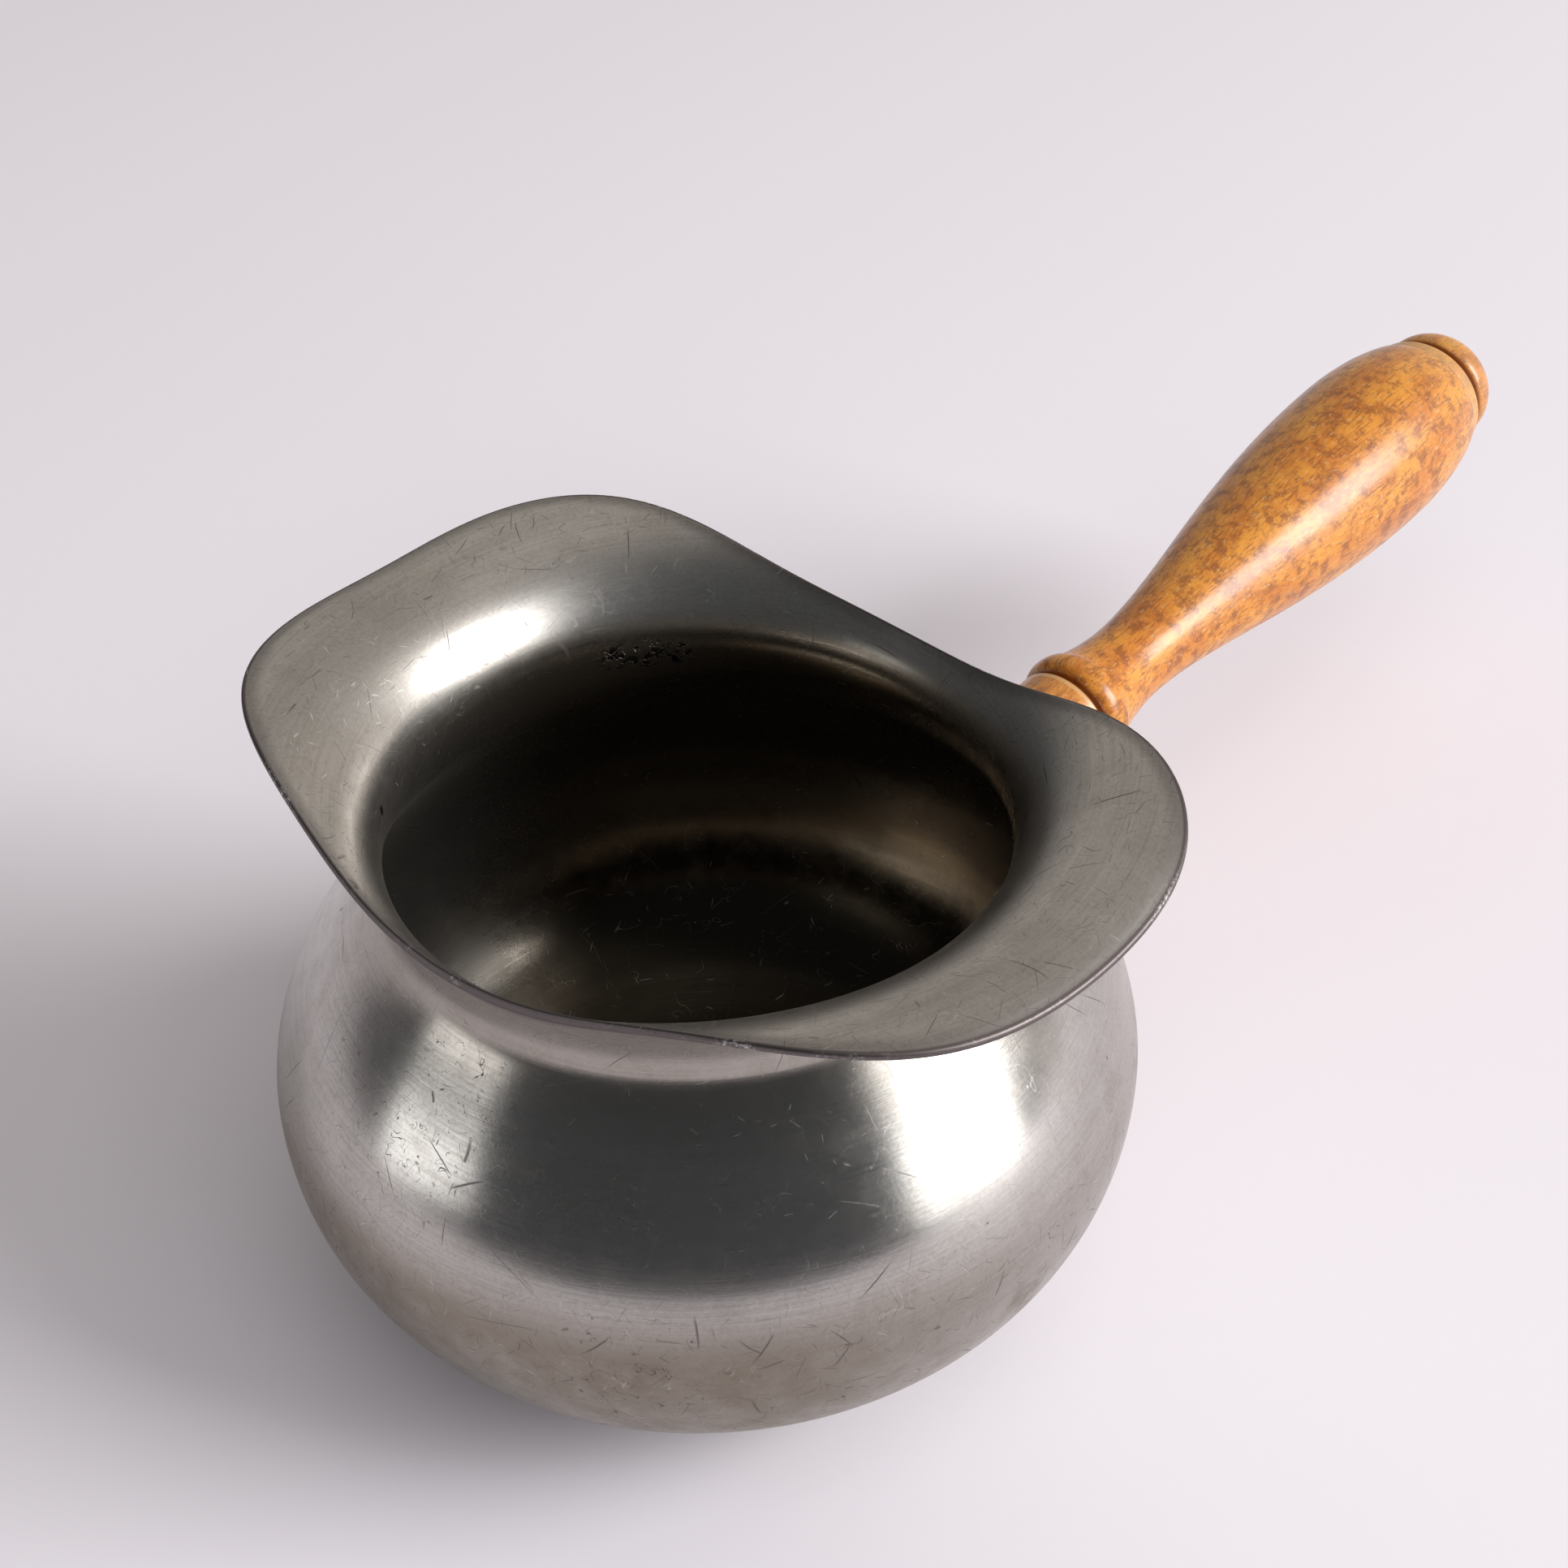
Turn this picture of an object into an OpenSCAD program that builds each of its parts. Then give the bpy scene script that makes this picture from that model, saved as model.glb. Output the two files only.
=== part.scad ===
// Pewter sauce boat with two pouring lips and a turned wood side handle, in millimetres.
// Origin: centre of the flat the bowl stands on. +Z up, handle towards +X, lips towards +Y and -Y.

/* [Bowl] */
// Widest radius of the belly
belly_r = 57.5; // [52:0.5:70]
// Height of the widest part of the belly above the table
belly_z = 34.8; // [28:0.2:42]
// Radius of the flat the bowl stands on
base_r = 22; // [16:0.5:27]
// Slope at which the bottom leaves the flat, in degrees
base_slope = 14; // [8:1:25]
// Outside radius of the neck, where the belly turns out into the rim
neck_r = 40.2; // [33:0.2:41.4]
// Height of the neck above the table
neck_z = 69; // [57:0.5:76]
// Thickness of the spun pewter
wall = 1.4; // [0.8:0.1:2]

/* [Rim] */
// Distance from the bowl's axis to the middle of each lip's edge
lip_reach = 61; // [51:0.2:74]
// Distance from the bowl's axis to the middle of each trimmed side
side_reach = 42.8; // [42.2:0.1:50]
// How far the rim's four corners swell past a plain oval
corner_swell = 1.2; // [0:0.1:2]
// Height of the rim's lips above the neck
rim_rise = 14.2; // [12:0.2:18]
// Angle at which the edge of a lip droops below the level, in degrees
lip_droop = 40; // [0:1:50]

/* [Handle] */
// Angle at which the handle rises from the level, in degrees
handle_tilt = 5.4; // [0:0.2:12]
// Height at which the handle's centre line would cross the bowl's axis
handle_z = 33.5; // [28:0.5:40]
// Length of the wood from the socket's mouth to the tip of the button
handle_len = 127; // [105:1:155]
// Length of the plain collar between the socket and the bead
collar_len = 9.7; // [7:0.1:13]
// Radius of the collar
collar_r = 8.3; // [7.5:0.1:9.3]
// Radius of the bead next to the collar
bead_r = 9; // [8.4:0.1:11]
// Radius of the waist between the bead and the grip
waist_r = 6.6; // [5.8:0.1:8]
// Widest radius of the grip
grip_r = 14.35; // [11.5:0.1:17.5]
// Radius of the grip's far edge, at the shoulder
shoulder_r = 12.1; // [10.4:0.1:14]
// Length of the button and its groove, past the shoulder
button_len = 14.6; // [12:0.1:18]
// Radius of the button
button_r = 10.1; // [8.5:0.1:12]

/* [Socket and stud] */
// Outside radius of the socket's mouth
socket_r = 9.4; // [8.8:0.1:11.5]
// Radius of the socket's foot where it meets the belly
foot_r = 12; // [10.5:0.1:14.5]
// Thickness of pewter under the socket's cup
floor_t = 6; // [4.5:0.1:8]
// Depth of the cup that takes the wood's spigot
cup_depth = 7; // [5:0.1:9]
// Radius of the wood's spigot
spigot_r = 6.8; // [5.6:0.1:7.4]
// Gap all round the spigot, filled by glue
spigot_gap = 0.1; // [0.05:0.05:0.3]
// Radius of the stud
stud_r = 2.5; // [1.5:0.1:3]
// Length of the stud
stud_len = 30; // [22:1:40]
// Pewter left under the end of the stud
stud_skin = 1.5; // [0.8:0.1:2]
// Gap at the end of the stud inside the wood
stud_end_gap = 1; // [0.5:0.1:2]
// Width of the solder round the socket's foot
solder_w = 1.4; // [0.8:0.1:2]
// Height of the solder on the belly
solder_h = 0.9; // [0.4:0.1:1.2]

/* [Hidden] */
$fn = 96;

steps = 12;         // pieces in each curve of the bowl's profile
turning_steps = 8;  // pieces in each curve of the turned handle
rim_sides = 96;     // sides of the trimmed outline
trim_margin = 1;  // rim spun past the lips before it is trimmed
corner_crisp = 0.33;  // how far the corners are squared

// A cubic curve with end points a and d, and handles b and c.
function curve(a, b, c, d, t) =
    pow(1 - t, 3) * a + 3 * pow(1 - t, 2) * t * b + 3 * (1 - t) * t * t * c + pow(t, 3) * d;
function slope(a, b, c, d, t) =
    3 * pow(1 - t, 2) * (b - a) + 6 * (1 - t) * t * (c - b) + 3 * t * t * (d - c);
// Points along a curve, moved sideways by "inset" towards its left.
function offset_curve(p, n, inset) = [
    for (i = [1:n])
        let (t = i / n, d = slope(p[0], p[1], p[2], p[3], t))
            curve(p[0], p[1], p[2], p[3], t) + inset * [-d[1], d[0]] / norm(d)
];
function reversed(list) = [for (i = [len(list) - 1:-1:0]) list[i]];

// ---- Bowl: one spun skin, its outline from the flat base up to the lips ----
rim_r = lip_reach + trim_margin;
lip_z = neck_z + rim_rise;
base_curve = [
    [base_r, 0],
    [base_r, 0] + 15.7 * [cos(base_slope), sin(base_slope)],
    [belly_r, 0.357 * belly_z],
    [belly_r, belly_z],
];
shoulder_curve = [
    [belly_r, belly_z],
    [belly_r, belly_z + 0.45 * (neck_z - belly_z)],
    [neck_r, neck_z - 0.163 * (neck_z - belly_z)],
    [neck_r, neck_z],
];
flare_curve = [
    [neck_r, neck_z],
    [neck_r, neck_z + 0.68 * rim_rise],
    [rim_r, lip_z] + 0.425 * (rim_r - neck_r) * [-cos(lip_droop), sin(lip_droop)],
    [rim_r, lip_z],
];
function skin(inset) = concat(
    offset_curve(base_curve, steps, inset),
    offset_curve(shoulder_curve, steps, inset),
    offset_curve(flare_curve, steps, inset)
);
inner_skin = skin(wall);
outer_skin = concat([[base_r, 0]], skin(0));

// Outline of the trimmed rim at angle a, measured from the lips.
rim_mean = (lip_reach + side_reach) / 2;
rim_half = (lip_reach - side_reach) / 2 + corner_swell;
function rim_at(a) =
    rim_mean + rim_half * cos(2 * a) - corner_swell * cos(6 * a) + corner_crisp * (1 - cos(8 * a));

module rim_outline() {
    polygon([
        for (i = [0:rim_sides - 1])
            let (a = 360 * i / rim_sides) rim_at(a) * [-sin(a), cos(a)]
    ]);
}

module bowl() {
    color([0.62, 0.62, 0.6])
    intersection() {
        rotate_extrude()
            polygon(concat([[0, 0]], outer_skin, reversed(inner_skin), [[0, wall]]));
        union() {
            cylinder(h = neck_z, r = belly_r + 5);
            translate([0, 0, neck_z - 0.01]) linear_extrude(rim_rise + 10) rim_outline();
        }
    }
}

// The bowl without its hollow or its rim, "grown" larger all over: what the socket's foot is fitted to.
module belly_block(grown = 0) {
    rotate_extrude()
        polygon(concat(
            [[0, 0], [base_r, 0]],
            offset_curve(base_curve, steps, -grown),
            offset_curve(shoulder_curve, steps, -grown),
            [[0, neck_z]]
        ));
}

// ---- Handle line: a turned part is drawn along +Z and laid on the handle's centre line ----
module on_handle_line(distance) {
    translate([0, 0, handle_z]) rotate([0, 90 - handle_tilt, 0]) translate([0, 0, distance]) children();
}
// Distance along the centre line at which it leaves the belly.
function above_line(p) = p[1] - handle_z - p[0] * tan(handle_tilt);
crossing = [
    for (i = [0:len(outer_skin) - 2])
        let (a = outer_skin[i], b = outer_skin[i + 1])
            if (above_line(a) <= 0 && above_line(b) > 0 && b[1] <= neck_z)
                a + (b - a) * above_line(a) / (above_line(a) - above_line(b))
][0];
belly_at = crossing[0] / cos(handle_tilt);
mouth_at = belly_at + floor_t + cup_depth;
foot_depth = foot_r * foot_r / belly_r + 3;  // far enough inside to meet the belly all round

// ---- Socket: cast cup with a spreading foot, soldered to the belly ----
socket_foot_at = belly_at + 1.2;
socket_curve = [
    [foot_r, socket_foot_at],
    [socket_r + 0.6, socket_foot_at + 1.2],
    [socket_r, socket_foot_at + 3.5],
    [socket_r, socket_foot_at + 5.5],
];
module socket_blank() {
    on_handle_line(0) rotate_extrude()
        polygon(concat(
            [[0, belly_at - foot_depth], [foot_r, belly_at - foot_depth], socket_curve[0]],
            offset_curve(socket_curve, turning_steps, 0),
            [[socket_r, mouth_at - 0.4], [socket_r - 0.4, mouth_at], [0, mouth_at]]
        ));
}
stud_at = belly_at + stud_skin;
module handle_socket() {
    color([0.6, 0.6, 0.58])
    difference() {
        socket_blank();
        belly_block();
        on_handle_line(mouth_at - cup_depth) cylinder(h = cup_depth + 1, r = spigot_r + spigot_gap);
        on_handle_line(stud_at) cylinder(h = stud_len, r = stud_r);
    }
}

// A band of even width and height round the socket's foot.
module socket_solder() {
    color([0.5, 0.5, 0.49])
    difference() {
        intersection() {
            on_handle_line(belly_at - foot_depth) cylinder(h = 2 * foot_depth, r = foot_r + solder_w);
            belly_block(solder_h);
        }
        belly_block();
        socket_blank();
    }
}

// ---- Stud: screwed into the socket's floor and the wood ----
module handle_stud() {
    color([0.7, 0.7, 0.72]) on_handle_line(stud_at) cylinder(h = stud_len, r = stud_r);
}

// ---- Handle: one turning, drawn from the mouth of the socket outwards ----
groove_r = collar_r - 0.9;
bead_at = collar_len + 0.9;
bead_len = 5;
waist_at = bead_at + 15.6;
shoulder_at = handle_len - button_len;
grip_at = shoulder_at - 17;
bead_curve = [
    [groove_r, bead_at],
    [bead_r + 0.5, bead_at],
    [bead_r + 0.5, bead_at + 0.75 * bead_len],
    [bead_r - 0.9, bead_at + bead_len],
];
cove_curve = [
    [bead_r - 0.9, bead_at + bead_len],
    [waist_r + 0.8, bead_at + bead_len + 2.2],
    [waist_r, waist_at - 4],
    [waist_r, waist_at],
];
grip_curve = [
    [waist_r, waist_at],
    [waist_r, waist_at + 0.25 * (grip_at - waist_at)],
    [grip_r, grip_at - 0.45 * (grip_at - waist_at)],
    [grip_r, grip_at],
];
end_curve = [
    [grip_r, grip_at],
    [grip_r, grip_at + 7],
    [shoulder_r + 1.3, shoulder_at - 4],
    [shoulder_r, shoulder_at],
];
band_r = (shoulder_r + button_r) / 2;
cap_at = shoulder_at + 5.4;
cap_curve = [
    [button_r, cap_at + 1],
    [button_r + 0.5, cap_at + 4.2],
    [0.75 * button_r, handle_len],
    [0, handle_len],
];
module handle() {
    color([0.72, 0.45, 0.16])
    difference() {
        on_handle_line(mouth_at) rotate_extrude()
            polygon(concat(
                [[0, spigot_gap - cup_depth], [spigot_r, spigot_gap - cup_depth], [spigot_r, 0]],
                [[collar_r - 0.3, 0], [collar_r, 0.3], [collar_r, collar_len - 0.3], [collar_r - 0.3, collar_len]],
                [[groove_r, collar_len], [groove_r, bead_at]],
                offset_curve(bead_curve, turning_steps, 0),
                offset_curve(cove_curve, turning_steps, 0),
                offset_curve(grip_curve, turning_steps, 0),
                offset_curve(end_curve, turning_steps, 0),
                [[band_r + 0.2, shoulder_at + 0.4], [band_r, shoulder_at + 3.2]],
                [[button_r - 1.2, shoulder_at + 4.6], [button_r - 1.2, cap_at], [button_r - 0.4, cap_at + 0.2]],
                [cap_curve[0]],
                offset_curve(cap_curve, turning_steps, 0)
            ));
        on_handle_line(mouth_at - cup_depth)
            cylinder(h = stud_at + stud_len + stud_end_gap - (mouth_at - cup_depth), r = stud_r);
    }
}

bowl();
handle_socket();
socket_solder();
handle_stud();
handle();
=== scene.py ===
import math

import bmesh
import bpy
from mathutils import Matrix, Vector


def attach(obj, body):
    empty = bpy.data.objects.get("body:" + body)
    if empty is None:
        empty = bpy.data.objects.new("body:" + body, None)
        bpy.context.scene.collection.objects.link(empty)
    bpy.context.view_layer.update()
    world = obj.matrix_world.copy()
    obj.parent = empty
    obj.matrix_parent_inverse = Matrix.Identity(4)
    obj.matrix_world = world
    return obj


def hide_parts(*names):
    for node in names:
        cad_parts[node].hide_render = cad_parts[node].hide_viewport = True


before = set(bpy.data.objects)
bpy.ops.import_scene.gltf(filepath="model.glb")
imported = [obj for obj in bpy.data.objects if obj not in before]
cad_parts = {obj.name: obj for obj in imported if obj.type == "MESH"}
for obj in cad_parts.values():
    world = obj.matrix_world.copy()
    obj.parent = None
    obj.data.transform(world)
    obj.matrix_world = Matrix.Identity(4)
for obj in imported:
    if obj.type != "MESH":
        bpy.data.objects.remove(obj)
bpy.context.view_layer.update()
MM = 0.001
scene = bpy.context.scene


# ---------------------------------------------------------------------------
# Camera: stands in front of the bowl on the side away from the handle, a
# little over 25 cm above the table, and looks down across both lips.
# ---------------------------------------------------------------------------
CAMERA_PLACE = Vector((-152.75, -156.46, 253.64)) * MM
CAMERA_HEADING = math.radians(47.21)
CAMERA_DIP = math.radians(38.98)
CAMERA_ROLL = math.radians(-1.51)
CAMERA_LENS = 52.17
CAMERA_SENSOR = 36.0

camera_data = bpy.data.cameras.new("camera")
camera_data.lens = CAMERA_LENS
camera_data.sensor_width = CAMERA_SENSOR
camera_data.clip_start = 0.01
camera = bpy.data.objects.new("camera", camera_data)
scene.collection.objects.link(camera)
turn = (
    Matrix.Rotation(-CAMERA_HEADING, 4, "Z")
    @ Matrix.Rotation(math.pi / 2 - CAMERA_DIP, 4, "X")
    @ Matrix.Rotation(CAMERA_ROLL, 4, "Z")
)
camera.matrix_world = Matrix.Translation(CAMERA_PLACE) @ turn
scene.camera = camera


# ---------------------------------------------------------------------------
# Bowl: one disc of pewter spun over a form into a flat base, a round belly,
# a neck and a flared rim. The rim is trimmed on two sides, which leaves the
# two pouring lips, and its edge is scraped round by hand.
# ---------------------------------------------------------------------------
TURN = 2.0 * math.pi


class Wire:
    """A value on its way through a node tree, so that a formula can be written out."""

    def __init__(self, tree, socket):
        self.tree = tree
        self.socket = socket

    def maths(self, operation, *others, clamp=False):
        step = self.tree.nodes.new("ShaderNodeMath")
        step.operation = operation
        step.use_clamp = clamp
        for socket, value in zip(step.inputs, (self, *others)):
            plug(value, socket)
        return Wire(self.tree, step.outputs[0])

    def __add__(self, other):
        return self.maths("ADD", other)

    def __radd__(self, other):
        return self.maths("ADD", other)

    def __sub__(self, other):
        return self.maths("SUBTRACT", other)

    def __rsub__(self, other):
        return (self * -1.0) + other

    def __mul__(self, other):
        return self.maths("MULTIPLY", other)

    def __truediv__(self, other):
        return self.maths("DIVIDE", other)

    def ramp(self, start, end, low=0.0, high=1.0):
        """Eases from low to high as the value goes from start to end."""
        step = self.tree.nodes.new("ShaderNodeMapRange")
        step.interpolation_type = "SMOOTHSTEP"
        titles = ("Value", "From Min", "From Max", "To Min", "To Max")
        for title, value in zip(titles, (self, start, end, low, high)):
            plug(value, step.inputs[title])
        return Wire(self.tree, step.outputs[0])


def plug(value, socket):
    """Feeds a socket with a wire, or sets it to a plain value."""
    if isinstance(value, Wire):
        value.tree.links.new(value.socket, socket)
    else:
        socket.default_value = value


def most(*values):
    """The largest of several wires."""
    found, *rest = values
    for value in rest:
        found = found.maths("MAXIMUM", value)
    return found


def node(tree, kind, settings=None, **inputs):
    """Adds a node; settings are its properties, and inputs are fed by socket name."""
    made = tree.nodes.new(kind)
    for name, value in (settings or {}).items():
        setattr(made, name, value)
    for name, value in inputs.items():
        plug(value, made.inputs[name.replace("_", " ")])
    return made


def out(tree, made, name=0):
    """The wire that leaves a node, by the name or number of its socket."""
    return Wire(tree, made.outputs[name])


def vector(tree, x, y, z):
    """A vector from its three parts."""
    return out(tree, node(tree, "ShaderNodeCombineXYZ", X=x, Y=y, Z=z))


def split(tree, value):
    """The three parts of a vector."""
    made = node(tree, "ShaderNodeSeparateXYZ", Vector=value)
    return [out(tree, made, name) for name in "XYZ"]


def start_tree(name, sizes):
    """A geometry tree whose named inputs are the given sizes; returns it and their wires."""
    tree = bpy.data.node_groups.new(name, "GeometryNodeTree")
    tree.interface.new_socket("Geometry", in_out="INPUT", socket_type="NodeSocketGeometry")
    tree.interface.new_socket("Geometry", in_out="OUTPUT", socket_type="NodeSocketGeometry")
    for title in sizes:
        tree.interface.new_socket(title, in_out="INPUT", socket_type="NodeSocketFloat")
    entry = tree.nodes.new("NodeGroupInput")
    return tree, {title: out(tree, entry, title) for title in sizes}


def run_tree(name, tree, sizes):
    """Runs a geometry tree with its sizes and returns the finished plain mesh object."""
    piece = bpy.data.objects.new(name, bpy.data.meshes.new(name + "_seed"))
    scene.collection.objects.link(piece)
    maker = piece.modifiers.new("maker", "NODES")
    maker.node_group = tree
    for item in tree.interface.items_tree:
        if item.item_type == "SOCKET" and item.in_out == "INPUT" and item.name in sizes:
            maker[item.identifier] = float(sizes[item.name])
    graph = bpy.context.evaluated_depsgraph_get()
    mesh = bpy.data.meshes.new_from_object(piece.evaluated_get(graph))
    piece.modifiers.clear()
    piece.data = mesh
    mesh.name = name
    return piece


def arc(tree, points, resolution=96):
    """A curve in the plane of radius (X) and height (Z): a point, two handles and an end point."""
    made = node(tree, "GeometryNodeCurvePrimitiveBezierSegment", {"mode": "POSITION"}, Resolution=resolution)
    for name, (r, z) in zip(("Start", "Start Handle", "End Handle", "End"), points):
        plug(vector(tree, r, 0.0, z), made.inputs[name])
    return out(tree, made)


def sheet_grid(tree, rows, around):
    """A flat grid; returns its mesh with its two running shares, along the outline and around it."""
    grid = node(tree, "GeometryNodeMeshGrid", None, Size_X=1.0, Size_Y=1.0,
                Vertices_X=rows + 1, Vertices_Y=around + 1)
    x, y, _ = split(tree, out(tree, tree.nodes.new("GeometryNodeInputPosition")))
    return out(tree, grid), x + 0.5, y + 0.5


def sample(tree, line, share):
    """Radius and height at a share of a curve's length, and the curve's direction there."""
    found = node(tree, "GeometryNodeSampleCurve", {"mode": "FACTOR"}, Curves=line, Factor=share)
    radius, _, height = split(tree, out(tree, found, "Position"))
    run_r, _, run_z = split(tree, out(tree, found, "Tangent"))
    return radius, height, run_r, run_z


def keep_mark(tree, mesh, title, value, kind="FLOAT"):
    """Writes a value on every point of a mesh, for the material to read."""
    stored = node(tree, "GeometryNodeStoreNamedAttribute", {"data_type": kind, "domain": "POINT"},
                  Geometry=mesh, Name=title, Value=value)
    return out(tree, stored)


def revolve(tree, mesh, radius, height, around_share, marks):
    """Wraps a grid round the Z axis, the first column at +Y, and writes its named marks on it."""
    angle = around_share * TURN
    for title, value in marks.items():
        mesh = keep_mark(tree, mesh, title, value)
    place = vector(tree, radius * angle.maths("SINE") * -1.0, radius * angle.maths("COSINE"), height)
    return out(tree, node(tree, "GeometryNodeSetPosition", None, Geometry=mesh, Position=place))


RELAX_STEPS = 90


def finish_tree(tree, sheets, material, weld=2e-6, ease=None):
    """Joins the sheets into one closed skin and puts its material on it. The weld is the gap closed at the
    seams, in metres, and ease is how far each point relaxes towards its neighbours."""
    joined = tree.nodes.new("GeometryNodeJoinGeometry")
    for sheet in sheets:
        tree.links.new(sheet.socket, joined.inputs[0])
    welded = node(tree, "GeometryNodeMergeByDistance", None, Geometry=out(tree, joined), Distance=weld)
    if ease is not None:
        there = out(tree, tree.nodes.new("GeometryNodeInputPosition"))
        relaxed = node(tree, "GeometryNodeBlurAttribute", {"data_type": "FLOAT_VECTOR"},
                       Value=there, Iterations=RELAX_STEPS, Weight=ease)
        welded = node(tree, "GeometryNodeSetPosition", None,
                      Geometry=out(tree, welded), Position=out(tree, relaxed))
    smooth = node(tree, "GeometryNodeSetShadeSmooth", None, Geometry=out(tree, welded), Shade_Smooth=True)
    real = node(tree, "GeometryNodeRealizeInstances", None, Geometry=out(tree, smooth))
    clad = node(tree, "GeometryNodeSetMaterial", None, Geometry=out(tree, real), Material=material)
    leave = tree.nodes.new("NodeGroupOutput")
    tree.links.new(clad.outputs[0], leave.inputs[0])


def read_mark(tree, title):
    """A value that was written on the points of a mesh."""
    made = node(tree, "GeometryNodeInputNamedAttribute", {"data_type": "FLOAT"}, Name=title)
    return out(tree, made, "Attribute")


def close_up(piece):
    """Drops doubled points and faces with no area, and turns every face outwards."""
    work = bmesh.new()
    work.from_mesh(piece.data)
    bmesh.ops.remove_doubles(work, verts=work.verts, dist=1e-6)
    bmesh.ops.dissolve_degenerate(work, edges=work.edges, dist=1e-7)
    bmesh.ops.recalc_face_normals(work, faces=work.faces)
    work.to_mesh(piece.data)
    work.free()
    piece.data.update()


BOWL = {
    "Belly Radius": 57.48 * MM,
    "Belly Height": 34.8 * MM,
    "Base Radius": 22.0 * MM,
    "Neck Radius": 40.2 * MM,
    "Neck Height": 69.0 * MM,
    "Wall": 1.4 * MM,
    "Edge Thickness": 0.95 * MM,
    "Flare Radius": 62.0 * MM,
    "Lip Reach": 60.0 * MM,
    "Side Reach": 42.75 * MM,
    "Corner Swell": 1.25 * MM,
    "Trim Wander": 0.65 * MM,
    "Rim Rise": 14.18 * MM,
    "Lip Dip": 1.9 * MM,
    "Dip Width": 0.3,
}
BASE_SLOPE = math.radians(14)
BASE_SWEEP = 15.7 * MM
BELLY_FULL_BELOW = 0.357  # the fullness of each curve is a share of its rise, or of the flare's width
BELLY_FULL_ABOVE = 0.45
NECK_EASE_BELOW = 0.163
NECK_EASE_ABOVE = 0.68
LIP_EASE = 0.425
LIP_DROOP = math.radians(40)
EDGE_ROUNDING = 0.42
CORNER_CRISP = 0.33 * MM
TRIM_STEPS = 6
AROUND_BOWL = 320
SHOULDER_START = 60 * MM  # where each band's spinning rings start to count, so that none repeats
FLARE_START = 100 * MM
EDGE_START = 130 * MM


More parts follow.
